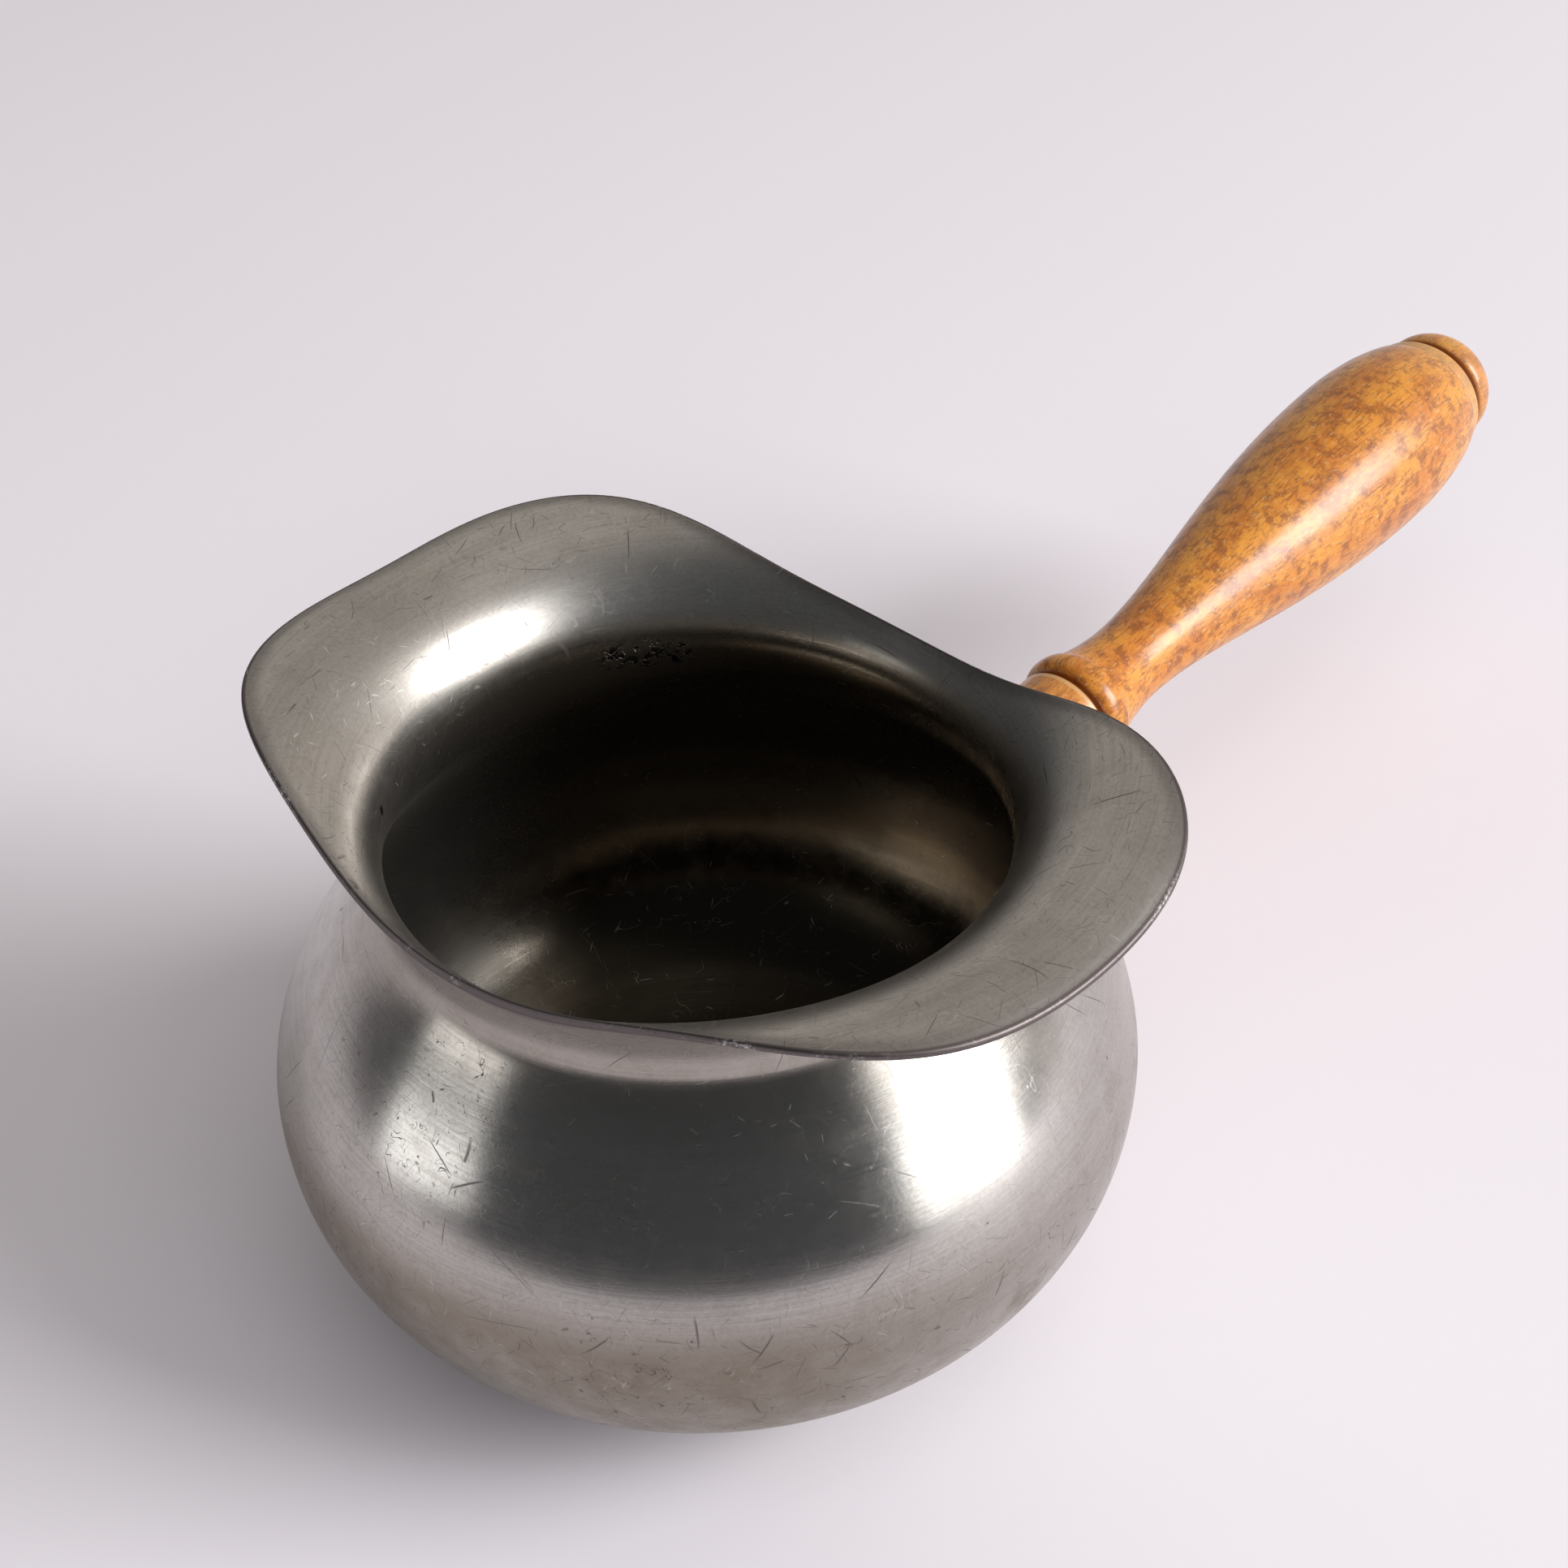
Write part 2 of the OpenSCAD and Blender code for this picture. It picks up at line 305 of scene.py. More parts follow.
def spun_bowl(material):
    """The bowl as one closed skin: both sides of the floor, belly, neck and flare, and the scraped edge."""
    tree, size = start_tree("spun_bowl", BOWL)
    belly, base, neck = size["Belly Radius"], size["Base Radius"], size["Neck Radius"]
    belly_z, neck_z, wall = size["Belly Height"], size["Neck Height"], size["Wall"]
    rim_r = size["Flare Radius"]
    lip_z = neck_z + size["Rim Rise"]
    rise = neck_z - belly_z
    flare = rim_r - neck
    droop_r, droop_z = LIP_EASE * math.cos(LIP_DROOP), LIP_EASE * math.sin(LIP_DROOP)
    foot = arc(tree, [
        (base, 0.0),
        (base + BASE_SWEEP * math.cos(BASE_SLOPE), BASE_SWEEP * math.sin(BASE_SLOPE)),
        (belly, belly_z * BELLY_FULL_BELOW),
        (belly, belly_z),
    ])
    shoulder = arc(tree, [
        (belly, belly_z),
        (belly, belly_z + rise * BELLY_FULL_ABOVE),
        (neck, neck_z - rise * NECK_EASE_BELOW),
        (neck, neck_z),
    ])
    trumpet = arc(tree, [
        (neck, neck_z),
        (neck, neck_z + size["Rim Rise"] * NECK_EASE_ABOVE),
        (rim_r - flare * droop_r, lip_z + flare * droop_z),
        (rim_r, lip_z),
    ])
    trumpet_run = out(tree, node(tree, "GeometryNodeCurveLength", None, Curve=trumpet))
    edge_round = size["Edge Thickness"] * EDGE_ROUNDING
    sheets = []

    def rim_reach(turns):
        """Distance from the axis to the trimmed edge: an oval with fuller corners, which the hand shears
        left a little uneven."""
        angle = turns * TURN
        swell, wander = size["Corner Swell"], size["Trim Wander"]
        middle = (size["Lip Reach"] + size["Side Reach"]) * 0.5
        half = (size["Lip Reach"] - size["Side Reach"]) * 0.5 + swell
        even = (middle + half * (angle * 2.0).maths("COSINE") - swell * (angle * 6.0).maths("COSINE")
                + (1.0 - (angle * 8.0).maths("COSINE")) * CORNER_CRISP)
        uneven = ((angle * 2.0).maths("SINE") * 0.7 - (angle * 3.0).maths("COSINE")
                  - angle.maths("COSINE") * 0.5 - (angle * 3.0).maths("SINE") * 0.2
                  + angle.maths("SINE") * 0.16)
        return even + wander * uneven

    def dip(turns, outward):
        """How far the middle of each lip is pressed down for pouring."""
        side = (turns * TURN).maths("SINE") / size["Dip Width"]
        return size["Lip Dip"] * (side * side * -1.0).maths("EXPONENT") * outward * outward

    def at_depth(share, depth):
        """A point of the flared rim, at a depth in metres in from the outer skin."""
        radius, height, run_r, run_z = sample(tree, trumpet, share)
        return radius - run_z * depth, height + run_r * depth, run_r

    def trimmed_share(reach, depth):
        """The share of the flare's length at which a skin meets the trimmed edge, found step by step."""
        share = (reach - neck) / flare
        for _ in range(TRIM_STEPS):
            radius, _, run_r = at_depth(share, depth)
            missing = (reach - radius) / (trumpet_run * run_r.maths("MAXIMUM", 0.2))
            share = (share + missing).maths("MINIMUM", 1.0)
        return share

    def band(line, rows, inside, start):
        """One band of skin, on the outside or, moved in by the wall, on the inside."""
        mesh, along, turns = sheet_grid(tree, rows, AROUND_BOWL)
        radius, height, run_r, run_z = sample(tree, line, along)
        if inside:
            radius, height = radius - run_z * wall, height + run_r * wall
        length = out(tree, node(tree, "GeometryNodeCurveLength", None, Curve=line))
        marks = {"edge": 1.0, "inside": float(inside), "run": along * length + start}
        sheets.append(revolve(tree, mesh, radius, height, turns, marks))

    def flared(rows, inside):
        """The flared rim's skin, from the neck to the edge of the trim."""
        mesh, along, turns = sheet_grid(tree, rows, AROUND_BOWL)
        thick = wall + (size["Edge Thickness"] - wall) * along.ramp(0.4, 1.0)
        top = thick if inside else thick * 0.0
        end = trimmed_share(rim_reach(turns) - edge_round, size["Edge Thickness"] if inside else top)
        here = end * along
        radius, height, _ = at_depth(here, top)
        marks = {"edge": (end - here) * trumpet_run,
                 "inside": here.ramp(0.0, 0.25, 1.0, 0.0) if inside else 0.0,
                 "run": here * trumpet_run + FLARE_START}
        sheets.append(revolve(tree, mesh, radius, height - dip(turns, along), turns, marks))

    def floor_disc(rows, inside):
        """The flat the bowl stands on, or the flat inside it."""
        mesh, along, turns = sheet_grid(tree, rows, AROUND_BOWL)
        radius, height, run_r, run_z = sample(tree, foot, 0.0)
        if inside:
            radius, height = radius - run_z * wall, height + run_r * wall
        marks = {"edge": 1.0, "inside": float(inside), "run": along * radius - BOWL["Base Radius"]}
        sheets.append(revolve(tree, mesh, radius * along, height, turns, marks))

    def scraped_edge(rows):
        """The edge of the trim, scraped to a round between the two skins."""
        mesh, along, turns = sheet_grid(tree, rows, AROUND_BOWL)
        reach = rim_reach(turns) - edge_round
        none = turns * 0.0
        low_r, low_z, _ = at_depth(trimmed_share(reach, none), none)
        top_r, top_z, _ = at_depth(trimmed_share(reach, size["Edge Thickness"]), size["Edge Thickness"])
        over = 0.5 - (along * math.pi).maths("COSINE") * 0.5
        radius = low_r + (top_r - low_r) * over + (along * math.pi).maths("SINE") * edge_round
        height = low_z + (top_z - low_z) * over - dip(turns, none + 1.0)
        marks = {"edge": 0.0, "inside": 0.0, "run": EDGE_START + along * wall}
        sheets.append(revolve(tree, mesh, radius, height, turns, marks))

    for inside in (False, True):
        floor_disc(8, inside)
        band(foot, 44, inside, 0.0)
        band(shoulder, 40, inside, SHOULDER_START)
        flared(44, inside)
    scraped_edge(8)

    # the forming tool leaves no crease where the floor meets the wall or inside the neck
    x, y, z = split(tree, out(tree, tree.nodes.new("GeometryNodeInputPosition")))
    near_floor = (x * x + y * y).maths("SQRT").ramp(40 * MM, 30 * MM) * z.ramp(25 * MM, 15 * MM)
    at_neck = z.ramp(60 * MM, 66 * MM) * read_mark(tree, "edge").ramp(1.5 * MM, 5 * MM)
    ease = read_mark(tree, "inside") * most(near_floor, at_neck)
    finish_tree(tree, sheets, material, ease=ease)
    return tree


class Look:
    """A material under construction: its tree, its shader and the marks a pattern can be laid on."""

    def __init__(self, name):
        self.material = bpy.data.materials.new(name)
        self.material.use_nodes = True
        self.tree = self.material.node_tree
        self.shader = self.tree.nodes["Principled BSDF"]
        self.place = out(self.tree, self.tree.nodes.new("ShaderNodeTexCoord"), "Object")

    def mark(self, title, output="Fac"):
        return out(self.tree, node(self.tree, "ShaderNodeAttribute", {"attribute_name": title}), output)

    def vec(self, operation, *values, output=0):
        made = self.tree.nodes.new("ShaderNodeVectorMath")
        made.operation = operation
        for socket, value in zip(made.inputs, values):
            plug(value, socket)
        return out(self.tree, made, output)

    def scaled(self, where, size, offset=(0.0, 0.0, 0.0)):
        """A place divided by a size in millimetres, and moved so that layers don't line up."""
        moved = self.vec("SCALE", where)
        plug(1.0 / (size * MM), moved.socket.node.inputs["Scale"])
        return self.vec("ADD", moved, offset)

    def noise(self, where, detail, rough=0.55, twist=0.0):
        made = node(self.tree, "ShaderNodeTexNoise", None, Vector=where, Scale=1.0, Detail=detail,
                    Roughness=rough, Distortion=twist)
        return out(self.tree, made, "Fac")

    def cells(self, where):
        """Scattered points: the nearest one's place, a random colour for it, and its distance."""
        made = node(self.tree, "ShaderNodeTexVoronoi", {"voronoi_dimensions": "3D", "feature": "F1"},
                    Vector=where, Scale=1.0, Randomness=1.0)
        return [out(self.tree, made, name) for name in ("Position", "Color", "Distance")]

    def chance(self, colour, salt):
        """A second random number for the same point."""
        moved = self.vec("ADD", colour, (salt, salt * 0.37, salt * 1.9))
        return out(self.tree, node(self.tree, "ShaderNodeTexWhiteNoise", None, Vector=moved), "Value")

    def scratches(self, size, width, share, offset, reach):
        """Nearly straight hairlines at random slants, in a share of the cells of that size; size and width
        are in millimetres, and reach is the longest line's half length in cells."""
        where = self.scaled(self.place, size, offset)
        slow = self.vec("ADD", self.vec("MULTIPLY", where, (0.8, 0.8, 0.8)), (5.0, 2.0, 8.0))
        bend = self.noise(slow, 0.0)
        where = self.vec("ADD", where, vector(self.tree, bend * 0.25, bend * -0.2, bend * 0.15))
        spot, colour, _ = self.cells(where)
        local = self.vec("SUBTRACT", where, spot)
        slant = self.vec("NORMALIZE", self.vec("SUBTRACT", colour, (0.5, 0.5, 0.5)))
        off_line = self.vec("DOT_PRODUCT", local, slant, output="Value").maths("ABSOLUTE")
        along = self.vec("LENGTH", local, output="Value")
        thin = width / size
        luck = self.chance(colour, offset[0] + 3.1)
        long = (1.0 - luck * 0.8) * reach
        line = off_line.ramp(thin * 0.2, thin, 1.0, 0.0) * along.ramp(long * 0.3, long, 1.0, 0.0)
        return line * luck.maths("LESS_THAN", share) * (1.0 - luck * 0.7)

    def hairlines(self, size, width, offset):
        """Long wandering hairlines, where a slow noise crosses its middle; sizes in millimetres."""
        slow = self.noise(self.scaled(self.place, size, offset), 2.0, 0.7, 0.6)
        gaps = self.noise(self.scaled(self.place, size * 0.6, (offset[2], offset[0], offset[1])), 2.0)
        thin = width / size * 0.25
        return (slow - 0.5).maths("ABSOLUTE").ramp(thin * 0.3, thin, 1.0, 0.0) * gaps.ramp(0.48, 0.58)

    def pits(self, size, width, share, offset):
        """Small round pits, in some of the cells of that size."""
        where = self.scaled(self.place, size, offset)
        _, colour, away = self.cells(where)
        radius = self.chance(colour, 7.7) * (width / size)
        hole = (away / radius.maths("MAXIMUM", 0.001)).ramp(0.6, 1.0, 1.0, 0.0)
        return hole * self.chance(colour, offset[0] + 1.3).maths("LESS_THAN", share)

    def near(self, centre, radius, ragged=0.0):
        """1 near a point given in millimetres, 0 past the radius."""
        away = self.vec("DISTANCE", self.place, tuple(c * MM for c in centre), output="Value") * (1.0 / MM)
        if ragged:
            torn = self.noise(self.scaled(self.place, radius * 0.6), 2.0) - 0.5
            away = away + torn * (ragged * radius)
        return away.ramp(radius * 0.5, radius, 1.0, 0.0)

    def mix(self, share, one, other):
        """One colour shading into another by a share."""
        made = node(self.tree, "ShaderNodeMix", {"data_type": "RGBA"})
        plug(share, made.inputs[0])
        plug(one, made.inputs[6])
        plug(other, made.inputs[7])
        return out(self.tree, made, 2)

    def relief(self, height):
        """Sets the shader's normal from a height in millimetres."""
        made = node(self.tree, "ShaderNodeBump", None, Strength=1.0, Distance=MM, Height=height)
        plug(out(self.tree, made), self.shader.inputs["Normal"])


PEWTER = (0.52, 0.50, 0.475, 1)
PEWTER_TARNISHED = (0.235, 0.20, 0.158, 1)
PEWTER_INSIDE = (0.38, 0.315, 0.235, 1)
# near black, for the painted shade on the floor inside
PAINTED_SHADE_DARK = (0.02, 0.017, 0.012, 1)
PIT_BLACK = (0.02, 0.018, 0.016, 1)
PEWTER_OXIDE = (0.12, 0.10, 0.10, 1)
# lighter than clean pewter: scratches and worn edge painted as glints
PEWTER_SCUFF_GLINT = (0.78, 0.77, 0.75, 1)

PITTED_PATCH = [  # a patch eaten by vinegar inside the neck: places and radii in millimetres
    ((19.5, 33.6, 69.4), 3.2),
    ((23.0, 31.3, 69.2), 3.6),
    ((26.4, 28.5, 68.9), 3.0),
]
SPOTS = [  # single corroded spots on the lips and round the neck
    ((-25.0, 30.4, 72.5), 1.0),
    ((-7.1, 54.1, 86.1), 0.6),
    ((-3.9, 51.6, 85.2), 0.5),
    ((14.8, -51.4, 85.8), 0.6),
    ((11.9, -52.7, 86.0), 0.7),
]


def pewter_finish():
    """Worn spun pewter: fine rings under scratches and nicks, oxide at the edge, tarnish low on the belly,
    the lit sides painted lighter, the floor inside painted near black as painted shade, and scratches painted
    bright as glints."""
    look = Look("spun_pewter")
    x, y, z = split(look.tree, look.place)
    radius = (x * x + y * y).maths("SQRT").maths("MAXIMUM", 0.001)
    edge, inside, run = look.mark("edge"), look.mark("inside"), look.mark("run")

    def rings(pitch, around):
        """Spinning marks: fine rings, a pitch in millimetres apart, that change slowly on the way round."""
        where = vector(look.tree, x / radius * around, y / radius * around, run * (1.0 / (pitch * MM)))
        return look.noise(where, 2.0)

    spun = rings(0.35, 2.2)
    spun_fine = rings(0.13, 5.0)
    mottle = look.noise(look.scaled(look.place, 14.0), 4.0, 0.6)
    cloud = look.noise(look.scaled(look.place, 5.0, (4.0, 1.0, 9.0)), 5.0, 0.65)
    speck = look.noise(look.scaled(look.place, 0.5, (1.0, 7.0, 2.0)), 2.0, 0.7)
    outside = 1.0 - inside
    lip = z.ramp(67 * MM, 77 * MM)
    lower = (z + (cloud - 0.5) * 0.006).ramp(47 * MM, 37 * MM) * outside
    # painted light: the inside wall where the lights' reflection falls is painted lighter and kept clear of
    # the floor's painted shade; it is also rougher
    lit_wall_inside = ((y - x) * 0.707).ramp(16 * MM, 42 * MM) * inside
    handled = most(lip, lower)

    # scratches, nicks, crackle and pits; sizes and widths in millimetres
    hairs = look.scratches(1.5, 0.06, 0.85, (0.0, 0.0, 0.0), 0.9) * (handled * 0.7 + 0.3)
    hairs_cross = look.scratches(3.2, 0.075, 0.85, (5.2, 1.7, 3.3), 0.9) * (handled * 0.7 + 0.3)
    nicks = look.scratches(6.5, 0.10, 0.35, (9.4, 2.2, 6.1), 0.6)
    wandering = look.hairlines(9.0, 0.09, (4.1, 8.3, 2.2)) * (handled * 0.6 + 0.4)
    longs = look.scratches(17.0, 0.07, 0.5, (2.9, 8.8, 1.4), 0.5)
    crackle_patch = most(look.near((-49, 2, 55), 20, 0.5), look.near((-48, -33, 34), 14, 0.8))
    crackle = look.hairlines(3.4, 0.13, (7.1, 4.4, 0.6)) * crackle_patch
    pits = look.pits(4.0, 0.35, 0.22, (3.3, 5.5, 7.7))
    big_pits = look.pits(13.0, 0.8, 0.25, (8.1, 2.5, 4.7)) * handled
    eaten = look.noise(look.scaled(look.place, 1.3, (2.0, 2.0, 6.0)), 3.0, 0.6).ramp(0.5, 0.54)
    pitted = most(*(look.near(*spot) for spot in PITTED_PATCH)) * eaten
    pitted = most(pitted, *(look.near(*spot) for spot in SPOTS))
    dark_marks = most(hairs * 0.65, hairs_cross * 0.7, nicks * 0.9, wandering * 0.6, longs * 0.8,
                      crackle * 0.8, pits * 0.8, big_pits * 0.8, pitted)

    # bright scratches: real scratches painted lighter than the clean metal as painted glints, more of them in
    # a rubbed patch on the left lip over the flare's highlight
    bright_hairs = look.scratches(3.6, 0.06, 0.4, (6.6, 0.9, 8.2), 0.35)
    bright_wander = look.hairlines(7.0, 0.10, (1.9, 3.8, 6.4))
    rubbed_glint_patch = most(look.near((-19, 39, 80), 26, 0.4), look.near((-26, -38, 58), 14, 0.4))
    rubbed_glint_hairs = look.scratches(1.9, 0.06, 0.75, (1.6, 6.0, 2.8), 0.5) * rubbed_glint_patch
    scuffs_and_glints = (bright_hairs * 0.7 + bright_wander * 0.35 + rubbed_glint_hairs).maths("MINIMUM", 1.0)

    # oxide, tarnish with the lit side painted lighter, and painted shade on the floor inside
    edge_mm = edge * (1.0 / MM)
    oxide = (edge_mm + (cloud - 0.5) * 2.2).ramp(2.6, 0.5) * 0.5 + edge_mm.ramp(0.35, 0.05) * 0.42
    worn = edge_mm.ramp(0.12, 0.02) * mottle.ramp(0.5, 0.62) * speck.ramp(0.45, 0.65) * 0.6
    stains = (mottle + cloud * 0.45).ramp(0.62, 0.9) * (lower * 0.7 + 0.15)
    # painted light: the side towards the key light is painted lighter, by less tarnish there
    painted_lit_side = ((x * 0.64 - y * 0.77) / radius).ramp(0.1, 0.95)
    # a darker band on the outside of the neck, under the rim
    under_rim = z.ramp(56 * MM, 68 * MM) * z.ramp(76 * MM, 68 * MM) * outside
    tarnish_and_painted_light = most(lower * (0.9 - painted_lit_side * 0.55), under_rim * 0.5)
    tarnish_and_painted_light = most(tarnish_and_painted_light * (0.7 + cloud * 0.6), stains)
    grain = (spun - 0.5) * 0.6 + (spun_fine - 0.5) * 0.5 + (speck - 0.5) * 0.7 + (cloud - 0.5) * 0.4
    # painted shade: the floor and low wall inside are painted near black, except on the lit wall
    painted_shade_floor = (z + (cloud - 0.5) * 0.012).ramp(30 * MM, 16 * MM) * (inside - lit_wall_inside * 0.95)

    # the inside colour, painted lighter on the lit wall
    colour = look.mix(inside - lit_wall_inside * 0.75, PEWTER, PEWTER_INSIDE)
    # tarnish, painted lighter on the side towards the key light
    colour = look.mix(tarnish_and_painted_light, colour, PEWTER_TARNISHED)
    colour = look.mix(grain + 0.12, colour, PEWTER_TARNISHED)
    # the painted shade on the floor inside
    colour = look.mix(painted_shade_floor * 0.95, colour, PAINTED_SHADE_DARK)
    colour = look.mix(oxide, colour, PEWTER_OXIDE)
    colour = look.mix(dark_marks, colour, PEWTER_OXIDE)
    colour = look.mix(pitted, colour, PIT_BLACK)
    # scratches and the worn edge, painted lighter than the metal as glints
    colour = look.mix(most(scuffs_and_glints * 0.6, worn), colour, PEWTER_SCUFF_GLINT)
    plug(colour, look.shader.inputs["Base Color"])
    plug(1.0 - inside * 0.04, look.shader.inputs["Metallic"])

    rough = 0.205 + lower * 0.12 + lip * 0.13 + lit_wall_inside * 0.1
    rough = rough + (cloud - 0.5) * 0.12 + (spun - 0.5) * 0.1
    rough = rough + stains * 0.12 + dark_marks * 0.25 + oxide * 0.15 + scuffs_and_glints * 0.15
    plug(rough.maths("MAXIMUM", 0.08), look.shader.inputs["Roughness"])

    wobble = look.noise(look.scaled(look.place, 22.0, (3.0, 3.0, 3.0)), 1.0) * 0.08
    look.relief(wobble + spun * 0.0022 + spun_fine * 0.0014 + speck * 0.004 - pitted * 0.05)
    return look.material


bowl = run_tree("spun_bowl", spun_bowl(pewter_finish()), BOWL)
close_up(bowl)
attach(bowl, "root")
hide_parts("bowl")


# ---------------------------------------------------------------------------
# Handle: one turning in hard maple, stained amber and lacquered. From the
# bowl outwards: spigot, collar, bead, waist, grip, shoulder and end button.
# The spigot is glued into the socket and the stud is screwed into it.
# ---------------------------------------------------------------------------
HANDLE = {
    "Line Height": 33.5 * MM,
    "Belly Crossing": 57.34 * MM,
    "Socket Floor": 6.0 * MM,
    "Cup Depth": 7.0 * MM,
    "Spigot Radius": 6.8 * MM,
    "Collar Length": 9.7 * MM,
    "Collar Radius": 8.3 * MM,
    "Groove Depth": 0.9 * MM,
    "Bead Radius": 9.0 * MM,
    "Waist Radius": 6.6 * MM,
    "Grip Radius": 14.35 * MM,
    "Shoulder Radius": 12.1 * MM,
    "Button Length": 14.6 * MM,
    "Button Radius": 10.1 * MM,
    "Wood Length": 127.0 * MM,
    "Stud Radius": 2.5 * MM,
    "Stud Start": 1.5 * MM,
    "Stud Length": 30.0 * MM,
}
HANDLE_TILT = math.radians(5.4)
GLUE_GAP = 0.1 * MM
BORE_CLEARANCE = 1.0 * MM
CORNER_ROUND = 0.3 * MM
COLLAR_GROOVE = 0.9 * MM
BEAD_LENGTH = 5.0 * MM
BEAD_TO_WAIST = 15.6 * MM
GRIP_TO_SHOULDER = 17.0 * MM
SHOULDER_TO_CAP = 5.4 * MM
CAP_NECK = 1.2 * MM
AROUND_HANDLE = 144


def on_circle(tree, radius, turns, height):
    """A place on a circle round the Z axis."""
    angle = turns * TURN
    return vector(tree, radius * angle.maths("SINE"), radius * angle.maths("COSINE"), height)


def set_place(tree, sheet, place):
    return out(tree, node(tree, "GeometryNodeSetPosition", None, Geometry=sheet, Position=place))


def straight(start, end):
    """The curve handles and the end of a straight cut."""
    (r0, z0), (r1, z1) = start, end
    return [
        (r0 + (r1 - r0) / 3.0, z0 + (z1 - z0) / 3.0),
        (r1 + (r0 - r1) / 3.0, z1 + (z0 - z1) / 3.0),
        end,
    ]


def turned(tree, start, cuts, around):
    """Turns an outline round the Z axis. Each cut is rows and a point for a straight cut, or rows, two
    handles and a point for a curved one. Where each point stood on the lathe is kept as a mark."""
    bands = []
    for rows, *points in cuts:
        if len(points) == 1:
            points = straight(start, points[0])
        line = arc(tree, [start, *points], resolution=48)
        mesh, along, turns = sheet_grid(tree, rows, around)
        radius, height, _, _ = sample(tree, line, along)
        place = on_circle(tree, radius, turns, height)
        mesh = keep_mark(tree, mesh, "turning", place, "FLOAT_VECTOR")
        bands.append(set_place(tree, mesh, place))
        start = points[-1]
    return bands


def lay_on_handle_line(tree, sheet, height):
    """Tips a turning from the Z axis onto the handle's centre line."""
    tipped = node(tree, "GeometryNodeTransform", None, Geometry=sheet,
                  Translation=vector(tree, 0.0, 0.0, height),
                  Rotation=(0.0, math.pi / 2 - HANDLE_TILT, 0.0))
    return out(tree, tipped)


def turned_handle(material):
    """The handle's outline, cut by cut from the bore round to the tip of the button."""
    tree, size = start_tree("turned_handle", HANDLE)
    mouth = size["Belly Crossing"] + size["Socket Floor"] + size["Cup Depth"]
    stud, spigot, collar = size["Stud Radius"], size["Spigot Radius"], size["Collar Radius"]
    bead, waist, grip = size["Bead Radius"], size["Waist Radius"], size["Grip Radius"]
    shoulder, button = size["Shoulder Radius"], size["Button Radius"]
    spigot_end = mouth - size["Cup Depth"] + GLUE_GAP
    bore_end = size["Belly Crossing"] + size["Stud Start"] + size["Stud Length"] + BORE_CLEARANCE
    collar_end = mouth + size["Collar Length"]
    groove = collar - size["Groove Depth"]
    bead_at = collar_end + COLLAR_GROOVE
    bead_end = bead_at + BEAD_LENGTH
    waist_at = bead_at + BEAD_TO_WAIST
    tip = mouth + size["Wood Length"]
    shoulder_at = tip - size["Button Length"]
    grip_at = shoulder_at - GRIP_TO_SHOULDER
    swell = grip_at - waist_at
    band = (shoulder + button) * 0.5
    cap_at = shoulder_at + SHOULDER_TO_CAP
    cap_neck = button - CAP_NECK
    axis = mouth * 0.0
    cuts = [
        # the bore for the stud, the spigot and the collar
        (2, (stud, bore_end)),
        (10, (stud, spigot_end)),
        (4, (spigot, spigot_end)),
        (3, (spigot, mouth)),
        (2, (collar - CORNER_ROUND, mouth)),
        (4, (collar, mouth), (collar, mouth), (collar, mouth + CORNER_ROUND)),
        (8, (collar, collar_end - CORNER_ROUND)),
        (4, (collar, collar_end), (collar, collar_end), (collar - CORNER_ROUND, collar_end)),
        # the groove and the bead
        (2, (groove, collar_end)),
        (2, (groove, bead_at)),
        (18, (bead + 0.5 * MM, bead_at), (bead + 0.5 * MM, bead_at + 3.75 * MM), (bead - 0.9 * MM, bead_end)),
        # the waist, the grip and the shoulder
        (18, (waist + 0.8 * MM, bead_end + 2.2 * MM), (waist, waist_at - 4.0 * MM), (waist, waist_at)),
        (70, (waist, waist_at + swell * 0.25), (grip, grip_at - swell * 0.45), (grip, grip_at)),
        (26, (grip, grip_at + 7.0 * MM), (shoulder + 1.3 * MM, shoulder_at - 4.0 * MM),
         (shoulder, shoulder_at)),
        # the pale band, the groove behind the button and its domed end
        (4, (shoulder - 0.1 * MM, shoulder_at + CORNER_ROUND), (band + 0.5 * MM, shoulder_at + CORNER_ROUND),
         (band + 0.2 * MM, shoulder_at + 0.5 * MM)),
        (6, (band, shoulder_at + 3.2 * MM)),
        (4, (band - 0.2 * MM, shoulder_at + 4.2 * MM), (cap_neck, shoulder_at + 3.9 * MM),
         (cap_neck, shoulder_at + 4.6 * MM)),
        (3, (cap_neck, cap_at)),
        (4, (button - 1.0 * MM, cap_at), (button, cap_at + 0.2 * MM), (button, cap_at + 1.0 * MM)),
        (22, (button + 0.5 * MM, cap_at + 4.2 * MM), (button * 0.75, tip), (axis, tip)),
    ]
    bands = turned(tree, (axis, bore_end), cuts, AROUND_HANDLE)
    finish_tree(tree, [lay_on_handle_line(tree, band, size["Line Height"]) for band in bands], material)
    return tree


STAIN_DARK = (0.24, 0.06, 0.004, 1)
STAIN_AMBER = (0.56, 0.178, 0.012, 1)
STAIN_HONEY = (0.70, 0.28, 0.026, 1)
BARE_MAPLE = (0.62, 0.37, 0.16, 1)


